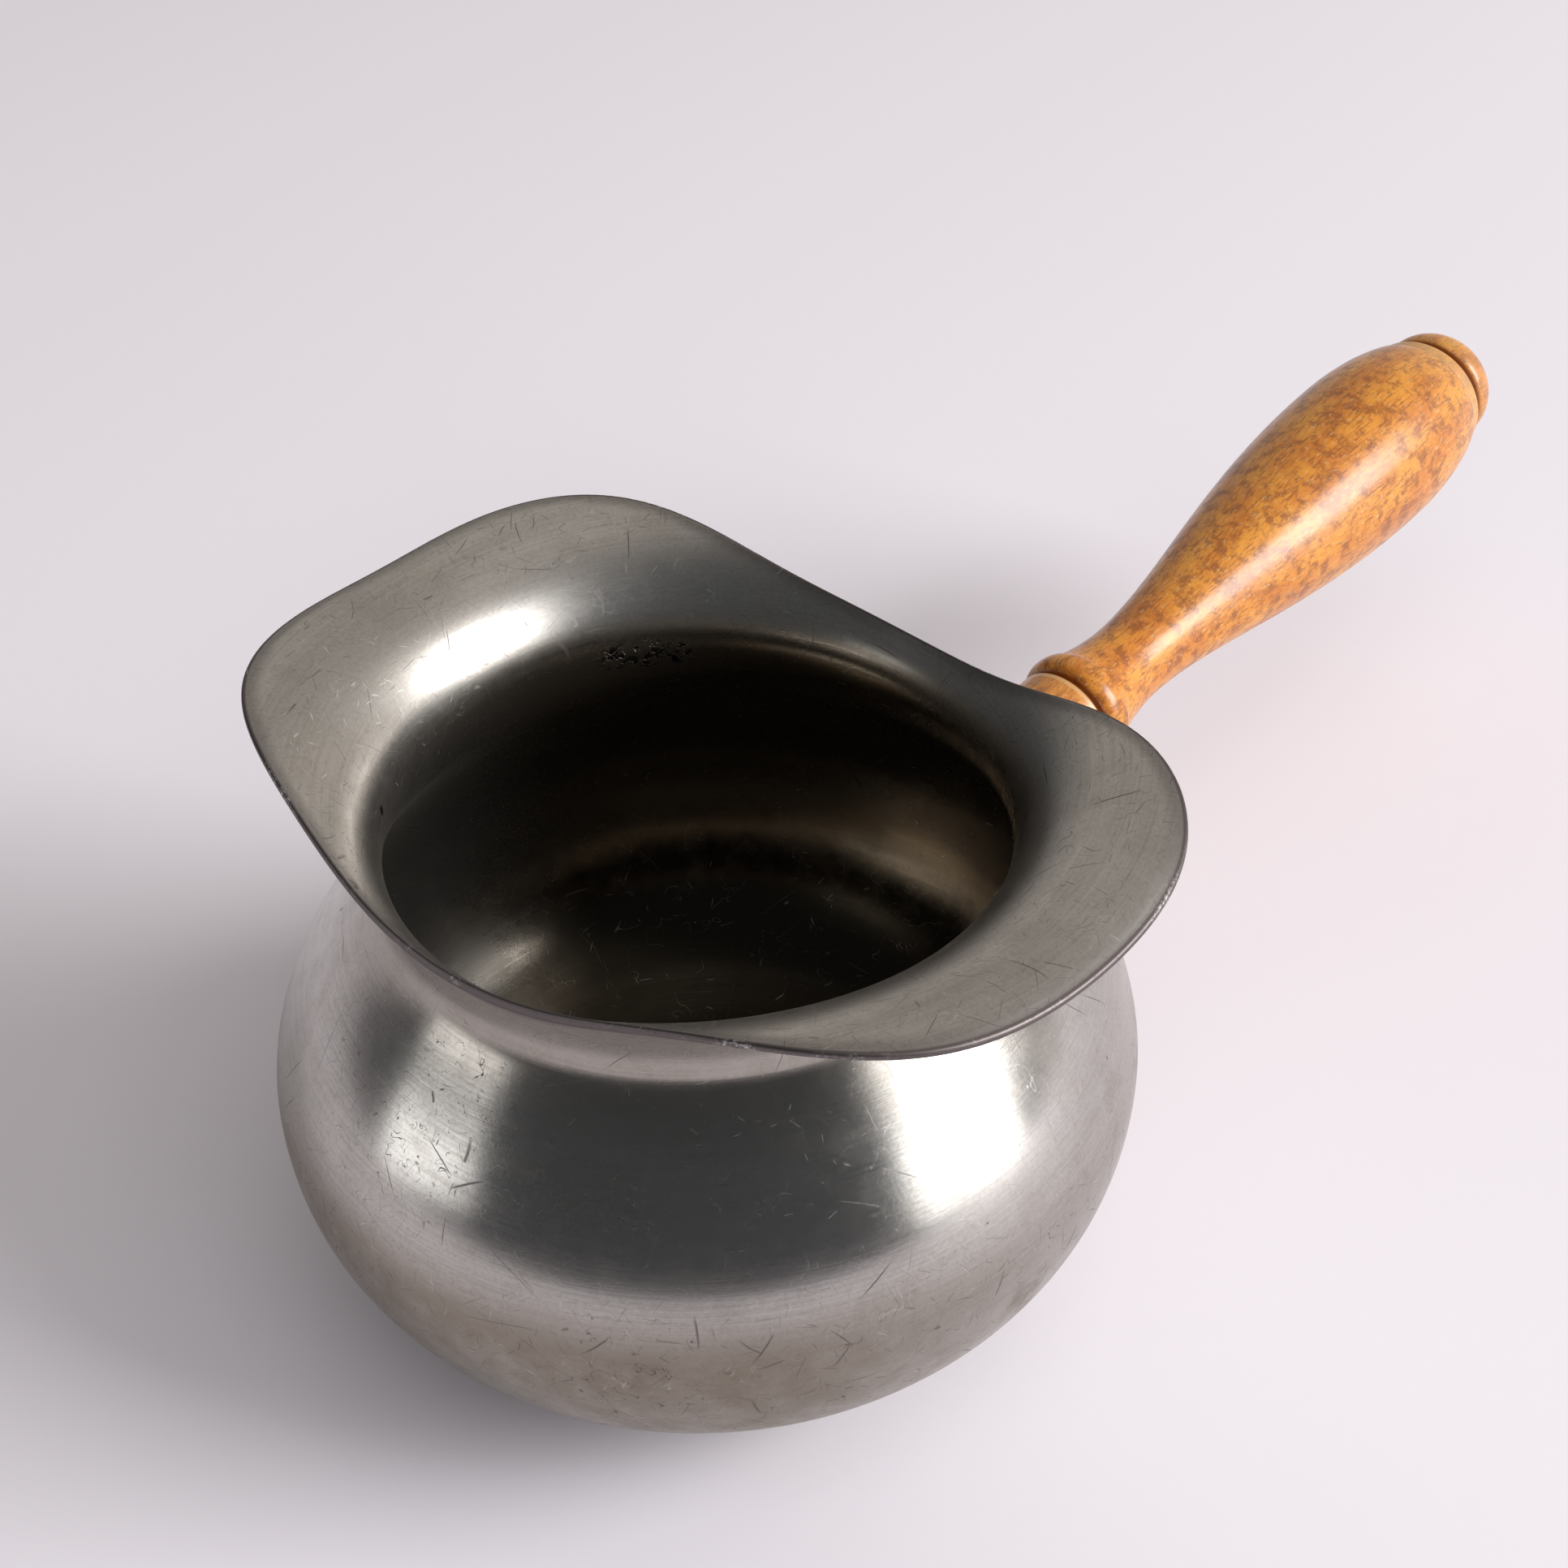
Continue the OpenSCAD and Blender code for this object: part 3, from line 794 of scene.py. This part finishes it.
def lacquered_maple():
    """Maple with amber stain gathered in its figure and pores, under a lacquer with a soft shine."""
    look = Look("lacquered_maple")
    grain = look.mark("turning", "Vector")
    x, y, along = split(look.tree, grain)
    along_mm = along * (1.0 / MM)
    mouth = HANDLE["Belly Crossing"] + HANDLE["Socket Floor"] + HANDLE["Cup Depth"]
    collar_end = (mouth + HANDLE["Collar Length"]) / MM
    shoulder_at = (mouth + HANDLE["Wood Length"] - HANDLE["Button Length"]) / MM

    def streaks(across, length, offset):
        """The wood's figure, drawn out along the grain; sizes in millimetres."""
        thin, long = 1.0 / (across * MM), 1.0 / (length * MM)
        return look.noise(vector(look.tree, x * thin + offset, y * thin, along * long), 3.0, 0.6)

    def ring(centre, outer, inner):
        """1 on a band round the handle, fading to 0 at its outer half width; in millimetres."""
        return (along_mm - centre).maths("ABSOLUTE").ramp(outer, inner)

    figure = streaks(5.0, 11.0, 3.0)
    blotch = look.noise(look.scaled(grain, 2.6, (7.0, 1.0, 2.0)), 3.0, 0.65)
    fleck = streaks(0.4, 3.4, 11.0)
    fleck_light = streaks(0.45, 1.4, 23.0)
    pore = streaks(0.2, 1.6, 31.0)
    colour = look.mix(figure.ramp(0.35, 0.65), STAIN_AMBER, STAIN_HONEY)
    colour = look.mix(blotch.ramp(0.46, 0.66) * 0.75, colour, STAIN_DARK)
    colour = look.mix(blotch.ramp(0.46, 0.28) * 0.5, colour, STAIN_HONEY)
    colour = look.mix(fleck.ramp(0.5, 0.68) * 0.7, colour, STAIN_DARK)
    colour = look.mix(fleck_light.ramp(0.57, 0.68) * 0.6, colour, BARE_MAPLE)
    colour = look.mix(pore.ramp(0.54, 0.7) * 0.4, colour, STAIN_DARK)

    # the stain wore thin on the collar, on its edge, on the band behind the button and near the end
    wander = (blotch - 0.5) * 1.2
    collar = (along_mm + wander).ramp(collar_end + 0.1, collar_end - 0.1) * 0.12
    collar_edge = ring(collar_end - 0.5, 0.55, 0.25) * 0.8
    pale_band = ring(shoulder_at + 1.9, 1.7, 1.2) * 0.55
    end = along_mm.ramp(shoulder_at - 16.0, shoulder_at + 6.0) * 0.22
    colour = look.mix(most(collar, collar_edge, pale_band, end), colour, BARE_MAPLE)

    # and gathered in the three grooves
    grooves = most(ring(collar_end + 0.5, 0.75, 0.4), ring(shoulder_at + 4.9, 1.1, 0.7),
                   ring(shoulder_at + 0.25, 0.4, 0.15))
    colour = look.mix(grooves * 0.92, colour, STAIN_DARK)
    plug(colour, look.shader.inputs["Base Color"])
    plug(0.52 + (blotch - 0.5) * 0.2, look.shader.inputs["Roughness"])
    look.shader.inputs["Specular IOR Level"].default_value = 0.3
    look.shader.inputs["Coat Weight"].default_value = 0.75
    look.shader.inputs["Coat Roughness"].default_value = 0.24
    look.shader.inputs["Coat IOR"].default_value = 1.5
    orange_peel = look.noise(look.scaled(grain, 0.9, (5.0, 5.0, 1.0)), 2.0)
    height = orange_peel * 0.012 + fleck * 0.010 + pore * 0.012 + figure * 0.02
    bump = node(look.tree, "ShaderNodeBump", None, Strength=1.0, Distance=MM, Height=height)
    plug(out(look.tree, bump), look.shader.inputs["Normal"])
    plug(out(look.tree, bump), look.shader.inputs["Coat Normal"])
    return look.material


handle = run_tree("turned_handle", turned_handle(lacquered_maple()), HANDLE)
close_up(handle)
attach(handle, "root")
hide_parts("handle")


# ---------------------------------------------------------------------------
# Handle socket: a small casting in pewter with a spreading foot, shaped to
# the belly and soldered on. Its cup takes the wood's spigot, and the stud is
# screwed into its floor.
# ---------------------------------------------------------------------------
SOCKET = {
    "Foot Radius": 12.0 * MM,
    "Neck Radius": 9.4 * MM,
    "Foot Height": 1.2 * MM,
    "Cup Radius": HANDLE["Spigot Radius"] + GLUE_GAP,
}
for title in ("Line Height", "Belly Crossing", "Socket Floor", "Cup Depth", "Stud Radius", "Stud Start"):
    SOCKET[title] = HANDLE[title]
MOUTH_ROUND = 0.4 * MM
AROUND_SOCKET = 96
HANDLE_LINE = Vector((math.cos(HANDLE_TILT), 0.0, math.sin(HANDLE_TILT)))
FAR_ENOUGH = 50 * MM


def drop_on_bowl(tree):
    """Where each point comes to lie when it slides back along the handle's line onto the bowl's skin,
    and where it was."""
    target = node(tree, "GeometryNodeObjectInfo", None, Object=bowl)
    there = out(tree, tree.nodes.new("GeometryNodeInputPosition"))
    hit = node(tree, "GeometryNodeRaycast", None, Target_Geometry=out(tree, target, "Geometry"),
               Source_Position=there, Ray_Direction=vector(tree, *-HANDLE_LINE), Ray_Length=FAR_ENOUGH)
    return out(tree, hit, "Hit Position"), there


def between(tree, one, other, share):
    """A place on the way from one place to another."""
    made = node(tree, "ShaderNodeMix", {"data_type": "VECTOR"})
    plug(share, made.inputs[0])
    plug(one, made.inputs[4])
    plug(other, made.inputs[5])
    return out(tree, made, 1)


def cast_socket(material):
    """The socket: a turned cup and neck on a foot that is shaped to the bowl."""
    tree, size = start_tree("cast_socket", SOCKET)
    crossing, foot, neck = size["Belly Crossing"], size["Foot Radius"], size["Neck Radius"]
    foot_at = crossing + size["Foot Height"]
    cup_floor = crossing + size["Socket Floor"]
    mouth = cup_floor + size["Cup Depth"]
    cup, stud = size["Cup Radius"], size["Stud Radius"]
    stud_at = crossing + size["Stud Start"]
    cuts = [
        (16, (neck + 0.6 * MM, foot_at + 1.2 * MM), (neck, foot_at + 3.5 * MM), (neck, foot_at + 5.5 * MM)),
        (6, (neck, mouth - MOUTH_ROUND)),
        (5, (neck, mouth - MOUTH_ROUND * 0.4), (neck - MOUTH_ROUND * 0.6, mouth),
         (neck - MOUTH_ROUND, mouth)),
        (4, (cup, mouth)),
        (6, (cup, cup_floor)),
        (5, (stud, cup_floor)),
        (4, (stud, stud_at)),
        (2, (foot * 0.0, stud_at)),
    ]
    bands = turned(tree, (foot, foot_at), cuts, AROUND_SOCKET)
    sheets = [lay_on_handle_line(tree, band, size["Line Height"]) for band in bands]

    # the underside, shaped to the belly
    mesh, along, turns = sheet_grid(tree, 14, AROUND_SOCKET)
    disc = set_place(tree, mesh, on_circle(tree, foot * along, turns, foot_at))
    disc = lay_on_handle_line(tree, disc, size["Line Height"])
    on_belly, _ = drop_on_bowl(tree)
    sheets.append(set_place(tree, disc, on_belly))

    # the foot's edge, from the belly up to the turned part
    mesh, along, turns = sheet_grid(tree, 5, AROUND_SOCKET)
    mesh = keep_mark(tree, mesh, "share", along)
    side = set_place(tree, mesh, on_circle(tree, foot, turns, foot_at))
    side = lay_on_handle_line(tree, side, size["Line Height"])
    on_belly, there = drop_on_bowl(tree)
    sheets.append(set_place(tree, side, between(tree, on_belly, there, read_mark(tree, "share"))))
    finish_tree(tree, sheets, material, weld=4e-6)
    return tree


def cast_finish(name, bright, dull, grit):
    """Bare cast or soldered metal: grey, dull in patches, with a fine grit left by the mould."""
    look = Look(name)
    patches = look.noise(look.scaled(look.place, 3.2), 4.0, 0.6)
    sand = look.noise(look.scaled(look.place, 0.45, (2.0, 5.0, 1.0)), 3.0, 0.6)
    lumps = look.noise(look.scaled(look.place, 1.6, (6.0, 1.0, 3.0)), 2.0)
    colour = look.mix(patches.ramp(0.35, 0.65), bright, dull)
    colour = look.mix(sand.ramp(0.58, 0.7) * 0.5, colour, PEWTER_OXIDE)
    plug(colour, look.shader.inputs["Base Color"])
    look.shader.inputs["Metallic"].default_value = 1.0
    plug(0.34 + patches * 0.16, look.shader.inputs["Roughness"])
    look.relief(sand * grit + lumps * (grit * 2.5))
    return look.material


CAST_GREY = (0.47, 0.455, 0.43, 1)
CAST_DULL = (0.27, 0.25, 0.225, 1)
cast_pewter = cast_finish("cast_pewter", CAST_GREY, CAST_DULL, 0.03)
socket = run_tree("cast_socket", cast_socket(cast_pewter), SOCKET)
close_up(socket)
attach(socket, "root")
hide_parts("handle_socket")


# ---------------------------------------------------------------------------
# Socket solder: the fillet of soft solder run round the socket's foot. It
# was laid by hand, so its width and height vary a little on the way round.
# ---------------------------------------------------------------------------
SOLDER = {
    "Line Height": HANDLE["Line Height"],
    "Belly Crossing": HANDLE["Belly Crossing"],
    "Foot Radius": SOCKET["Foot Radius"],
    "Fillet Width": 1.3 * MM,
    "Fillet Height": 0.85 * MM,
    "Unevenness": 0.16,
}


def solder_fillet(material):
    """The fillet: a hollow face up to the foot's edge, the face against the foot and the one on the belly."""
    tree, size = start_tree("solder_fillet", SOLDER)
    clear_of_belly = size["Belly Crossing"] + 4.0 * MM

    def uneven(turns):
        """How wide and high the fillet is there, as a share of its plain size."""
        angle = turns * TURN
        waves = (angle * 3.0 + 0.7).maths("SINE") * 0.5 + (angle * 7.0).maths("SINE") * 0.3
        waves = waves + (angle * 12.0 + 2.1).maths("SINE") * 0.2
        return 1.0 + (waves - 1.0) * size["Unevenness"]

    def strip(rows, radius_at, lift_at):
        """A strip on the belly round the foot, lifted off it along the handle's line."""
        mesh, along, turns = sheet_grid(tree, rows, AROUND_SOCKET)
        mesh = keep_mark(tree, mesh, "share", along)
        mesh = keep_mark(tree, mesh, "turns", turns)
        radius = radius_at(along, uneven(turns))
        mesh = set_place(tree, mesh, on_circle(tree, radius, turns, clear_of_belly))
        mesh = lay_on_handle_line(tree, mesh, size["Line Height"])
        x, y, z = split(tree, drop_on_bowl(tree)[0])
        lift = lift_at(read_mark(tree, "share"), uneven(read_mark(tree, "turns")))
        return set_place(tree, mesh, vector(tree, x + lift * HANDLE_LINE.x, y, z + lift * HANDLE_LINE.z))

    foot, wide, high = size["Foot Radius"], size["Fillet Width"], size["Fillet Height"]
    sheets = [
        strip(8, lambda s, u: foot + wide * u * (1.0 - s), lambda s, u: high * u * s * s),
        strip(3, lambda s, u: foot + s * 0.0, lambda s, u: high * u * s),
        strip(8, lambda s, u: foot + wide * u * (1.0 - s), lambda s, u: s * 0.0),
    ]
    finish_tree(tree, sheets, material, weld=4e-6)
    return tree


SOLDER_GREY = (0.43, 0.42, 0.40, 1)
SOLDER_DULL = (0.24, 0.225, 0.205, 1)
soft_solder = cast_finish("soft_solder", SOLDER_GREY, SOLDER_DULL, 0.05)
solder = run_tree("solder_fillet", solder_fillet(soft_solder), SOLDER)
close_up(solder)
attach(solder, "root")
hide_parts("socket_solder")


# ---------------------------------------------------------------------------
# Handle stud: a length of steel rod threaded from end to end, screwed into
# the socket's floor and into the wood. It is hidden once the handle is on.
# ---------------------------------------------------------------------------
STUD = {
    "Line Height": HANDLE["Line Height"],
    "Stud Start": HANDLE["Belly Crossing"] + HANDLE["Stud Start"],
    "Stud Length": HANDLE["Stud Length"],
    "Stud Radius": HANDLE["Stud Radius"],
    "Thread Pitch": 0.8 * MM,
    "Thread Depth": 0.4 * MM,
}
THREAD_RUNOUT = 0.6 * MM
THREAD_ROWS = 380
AROUND_STUD = 40


def threaded_stud(material):
    """The rod, its thread fading out at both ends, and its two flat ends."""
    tree, size = start_tree("threaded_stud", STUD)
    start, long, outer = size["Stud Start"], size["Stud Length"], size["Stud Radius"]
    core = outer - size["Thread Depth"]
    mesh, along, turns = sheet_grid(tree, THREAD_ROWS, AROUND_STUD)
    run = along * long
    wave = ((run / size["Thread Pitch"] - turns) * TURN).maths("COSINE") * 0.5 + 0.5
    run_in = (run / THREAD_RUNOUT).maths("MINIMUM", 1.0)
    run_out = ((1.0 - along) * long / THREAD_RUNOUT).maths("MINIMUM", 1.0)
    radius = outer - size["Thread Depth"] * (1.0 - wave * run_in.maths("MINIMUM", run_out))
    sheets = [set_place(tree, mesh, on_circle(tree, radius, turns, start + run))]
    for height in (start, start + long):
        mesh, along, turns = sheet_grid(tree, 3, AROUND_STUD)
        sheets.append(set_place(tree, mesh, on_circle(tree, core * along, turns, height)))
    finish_tree(tree, [lay_on_handle_line(tree, sheet, size["Line Height"]) for sheet in sheets], material)
    return tree


STEEL = (0.56, 0.56, 0.57, 1)
STEEL_OILED = (0.30, 0.29, 0.28, 1)


def stud_steel():
    """Drawn steel under a film of old oil."""
    look = Look("stud_steel")
    film = look.noise(look.scaled(look.place, 2.0), 4.0, 0.6)
    drawn = look.noise(look.scaled(look.place, 0.3), 2.0)
    plug(look.mix(film.ramp(0.4, 0.65), STEEL, STEEL_OILED), look.shader.inputs["Base Color"])
    look.shader.inputs["Metallic"].default_value = 1.0
    plug(0.28 + film * 0.2, look.shader.inputs["Roughness"])
    look.relief(drawn * 0.01)
    return look.material


stud = run_tree("threaded_stud", threaded_stud(stud_steel()), STUD)
close_up(stud)
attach(stud, "root")
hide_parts("handle_stud")


# ---------------------------------------------------------------------------
# Table: a sheet of pale lilac-white paper, which runs back under everything.
# ---------------------------------------------------------------------------
PAPER = (0.87, 0.83, 0.89, 1)
TABLE_REACH = 4
floor_mesh = bpy.data.meshes.new("table")
corners = [(x * TABLE_REACH, y * TABLE_REACH, 0) for x, y in ((-1, -1), (1, -1), (1, 1), (-1, 1))]
floor_mesh.from_pydata(corners, [], [(0, 1, 2, 3)])
floor = bpy.data.objects.new("table", floor_mesh)
scene.collection.objects.link(floor)
paper = Look("paper")
paper.shader.inputs["Base Color"].default_value = PAPER
paper.shader.inputs["Roughness"].default_value = 0.75
paper.shader.inputs["Specular IOR Level"].default_value = 0.2
floor_mesh.materials.append(paper.material)


# ---------------------------------------------------------------------------
# Light: a large key on the right with a dim window beside it, a small soft box
# low on the left and a soft fill in front. The wall behind is pale and warm,
# and the rest of the room is dark.
# ---------------------------------------------------------------------------
def softbox(name, bearing, lift, away, width, height, glow, roll=0.0):
    """An area light at a bearing round the bowl, turned to face it. Angles are in degrees, sizes in metres,
    and glow is its brightness to the eye."""
    data = bpy.data.lights.new(name, "AREA")
    data.shape = "RECTANGLE"
    data.size, data.size_y = width, height
    data.energy = glow * math.pi * width * height
    box = bpy.data.objects.new(name, data)
    scene.collection.objects.link(box)
    a, e = math.radians(bearing), math.radians(lift)
    place = Vector((math.cos(a) * math.cos(e), math.sin(a) * math.cos(e), math.sin(e))) * away
    facing = (-place).to_track_quat("-Z", "Y").to_matrix().to_4x4()
    rolled = facing @ Matrix.Rotation(math.radians(roll), 4, "Z")
    box.matrix_world = Matrix.Translation(place + BOWL_MIDDLE) @ rolled
    box.visible_camera = False
    return box


BOWL_MIDDLE = Vector((0, 0, 50 * MM))
softbox("key_right", bearing=-59, lift=28, away=3.0, width=1.5, height=1.36, glow=14.5, roll=-8)
softbox("window_right", bearing=-71, lift=10, away=3.0, width=1.75, height=1.0, glow=3.2, roll=-10)
softbox("softbox_left", bearing=151, lift=7, away=1.7, width=0.8, height=0.36, glow=1.9, roll=20)
fill = softbox("fill_front", bearing=-125, lift=55, away=1.8, width=1.8, height=1.8, glow=0.9)
fill.visible_glossy = False

ROOM_DARK = (0.07, 0.075, 0.08, 1)
WALL_PALE = (0.66, 0.61, 0.56, 1)
WALL_TOWARDS = Vector((0.80, 0.14, 0.58)).normalized()
world = bpy.data.worlds.new("room")
scene.world = world
world.use_nodes = True
room = world.node_tree
toward = out(room, room.nodes.new("ShaderNodeTexCoord"), "Generated")
facing_wall = node(room, "ShaderNodeVectorMath", {"operation": "DOT_PRODUCT"})
plug(toward, facing_wall.inputs[0])
plug(WALL_TOWARDS, facing_wall.inputs[1])
patchy = out(room, node(room, "ShaderNodeTexNoise", None, Vector=toward, Scale=2.3, Detail=1.0), "Fac")
wall_share = out(room, facing_wall, "Value").ramp(0.25, 0.8) * patchy.ramp(0.35, 0.6, 0.5, 1.05)
paint = node(room, "ShaderNodeMix", {"data_type": "RGBA"})
plug(wall_share, paint.inputs[0])
plug(ROOM_DARK, paint.inputs[6])
plug(WALL_PALE, paint.inputs[7])
plug(out(room, paint, 2), room.nodes["Background"].inputs["Color"])
scene.view_settings.view_transform = "Standard"
